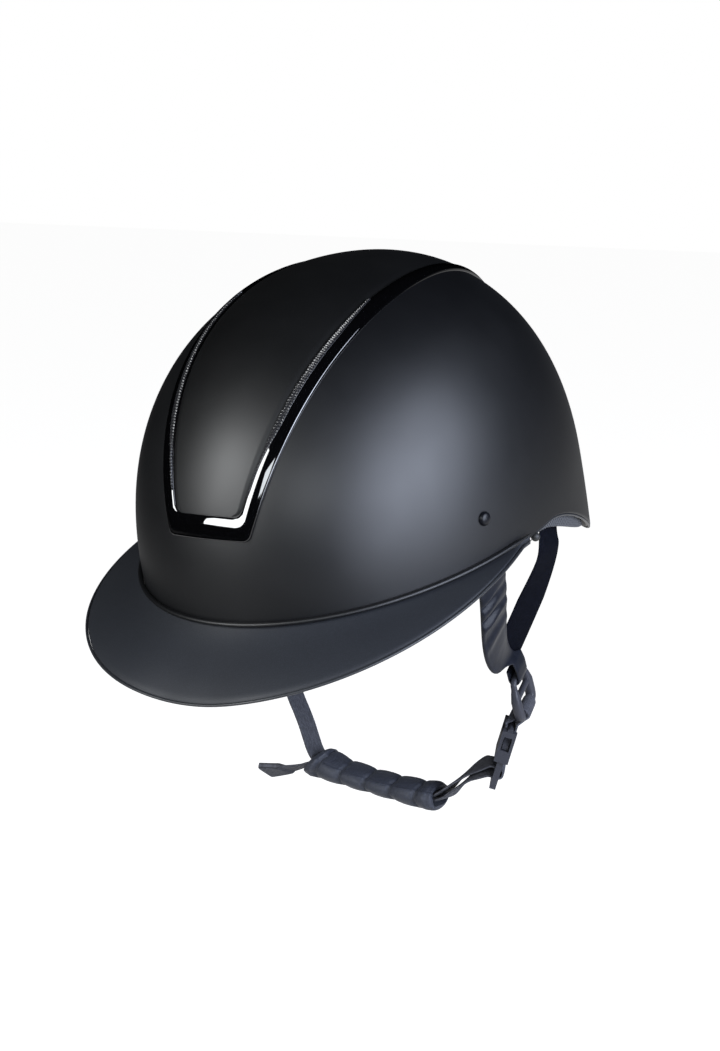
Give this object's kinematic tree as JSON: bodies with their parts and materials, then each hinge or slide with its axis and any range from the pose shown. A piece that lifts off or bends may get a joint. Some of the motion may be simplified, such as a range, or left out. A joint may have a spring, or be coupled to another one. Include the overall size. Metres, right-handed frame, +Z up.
{
  "type": "riding helmet",
  "caption": "Riding helmet with a hard shell, brim, gloss trim frame, foam liner, size dial, webbing harness, side-release buckle and padded chin strap.",
  "frame": {"origin": "on the symmetry plane, where the shell is widest, level with the seam between the shell and the brim", "axes": "-Y towards the brim, the front of the helmet, +X towards the wearer's left, where the buckle is, +Z up through the crown"},
  "size_m": [0.2162, 0.298, 0.2917],
  "materials": {
    "shell": "matte",
    "panel": "matte",
    "gloss_trim": "gloss",
    "vent_mesh": "satin",
    "edging": "satin",
    "foam": "matte",
    "comfort_fabric": "matte",
    "ear_mesh": "matte",
    "rivet": "satin",
    "anchor": "matte",
    "strap_leather": "satin",
    "webbing": "satin",
    "buckle": "satin",
    "chin_cover": "satin",
    "adjuster": "satin",
    "steel": "satin"
  },
  "bodies": {
    "helmet": {"outer_shell": "shell", "centre_panel": "panel", "trim_frame": "gloss_trim", "vent_mesh_left": "vent_mesh", "vent_mesh_right": "vent_mesh", "brim": "shell", "brim_edging": "edging", "seam_bead": "shell", "shell_edging": "edging", "foam_liner": "foam", "brow_pad": "comfort_fabric", "crown_pad": "comfort_fabric", "side_pad_left": "comfort_fabric", "side_pad_right": "comfort_fabric", "nape_pad_left": "comfort_fabric", "nape_pad_right": "comfort_fabric", "ear_lining_left": "ear_mesh", "ear_lining_right": "ear_mesh", "side_rivet_left": "rivet", "side_rivet_right": "rivet", "front_anchor_left": "anchor", "front_anchor_right": "anchor", "rear_anchor_left": "anchor", "rear_anchor_right": "anchor", "front_strap_left": "strap_leather", "front_strap_right": "strap_leather", "rear_strap_left": "webbing", "rear_strap_right": "webbing", "divider_left": "buckle", "lower_strap": "webbing", "buckle_socket": "buckle", "cradle_housing": "adjuster", "cradle_cover": "adjuster", "cradle_hanger": "adjuster", "cradle_pad": "comfort_fabric"},
    "chin_loop": {"divider_right": "buckle", "chin_strap": "webbing", "chin_pad": "chin_cover", "buckle_tongue": "buckle"},
    "prong_front": {"prong_front": "buckle"},
    "prong_rear": {"prong_rear": "buckle"},
    "size_dial": {"dial_knob": "adjuster", "dial_pinion": "steel", "dial_screw": "steel"},
    "band_left": {"band_left": "adjuster"},
    "band_right": {"band_right": "adjuster"}
  },
  "joints": [
    {"name": "chin_swing", "type": "hinge", "parent": "helmet", "child": "chin_loop", "pos_m": [-0.0695, 0.01333, -0.08826], "axis": [0, 0.9524, -0.3049], "range_deg": [0, 75]},
    {"name": "prong_rear_press", "type": "hinge", "parent": "chin_loop", "child": "prong_rear", "pos_m": [0.0551, 0.00513, -0.13176], "axis": [0.8188, 0.3902, -0.421], "range_deg": [0, 15], "stiffness_Nm_per_rad": 0.05},
    {"name": "prong_front_press", "type": "hinge", "parent": "chin_loop", "child": "prong_front", "pos_m": [0.06105, -0.00589, -0.13038], "axis": [-0.8188, -0.3902, 0.421], "range_deg": [0, 15], "stiffness_Nm_per_rad": 0.05},
    {"name": "dial_turn", "type": "hinge", "parent": "helmet", "child": "size_dial", "pos_m": [0, 0.094, -0.038], "axis": [0, -1, 0], "range_deg": [0, 100]},
    {"name": "band_left_slide", "type": "slide", "parent": "helmet", "child": "band_left", "axis": [-1, 0, 0], "range_m": [0, 0.007]},
    {"name": "band_right_slide", "type": "slide", "parent": "helmet", "child": "band_right", "axis": [1, 0, 0], "range_m": [0, 0.007]}
  ],
  "couplings": [
    {"joint": "prong_front_press", "follows": "prong_rear_press", "ratio": 1},
    {"joint": "band_left_slide", "follows": "dial_turn", "m_per_rad": 0.004},
    {"joint": "band_right_slide", "follows": "dial_turn", "m_per_rad": 0.004}
  ]
}
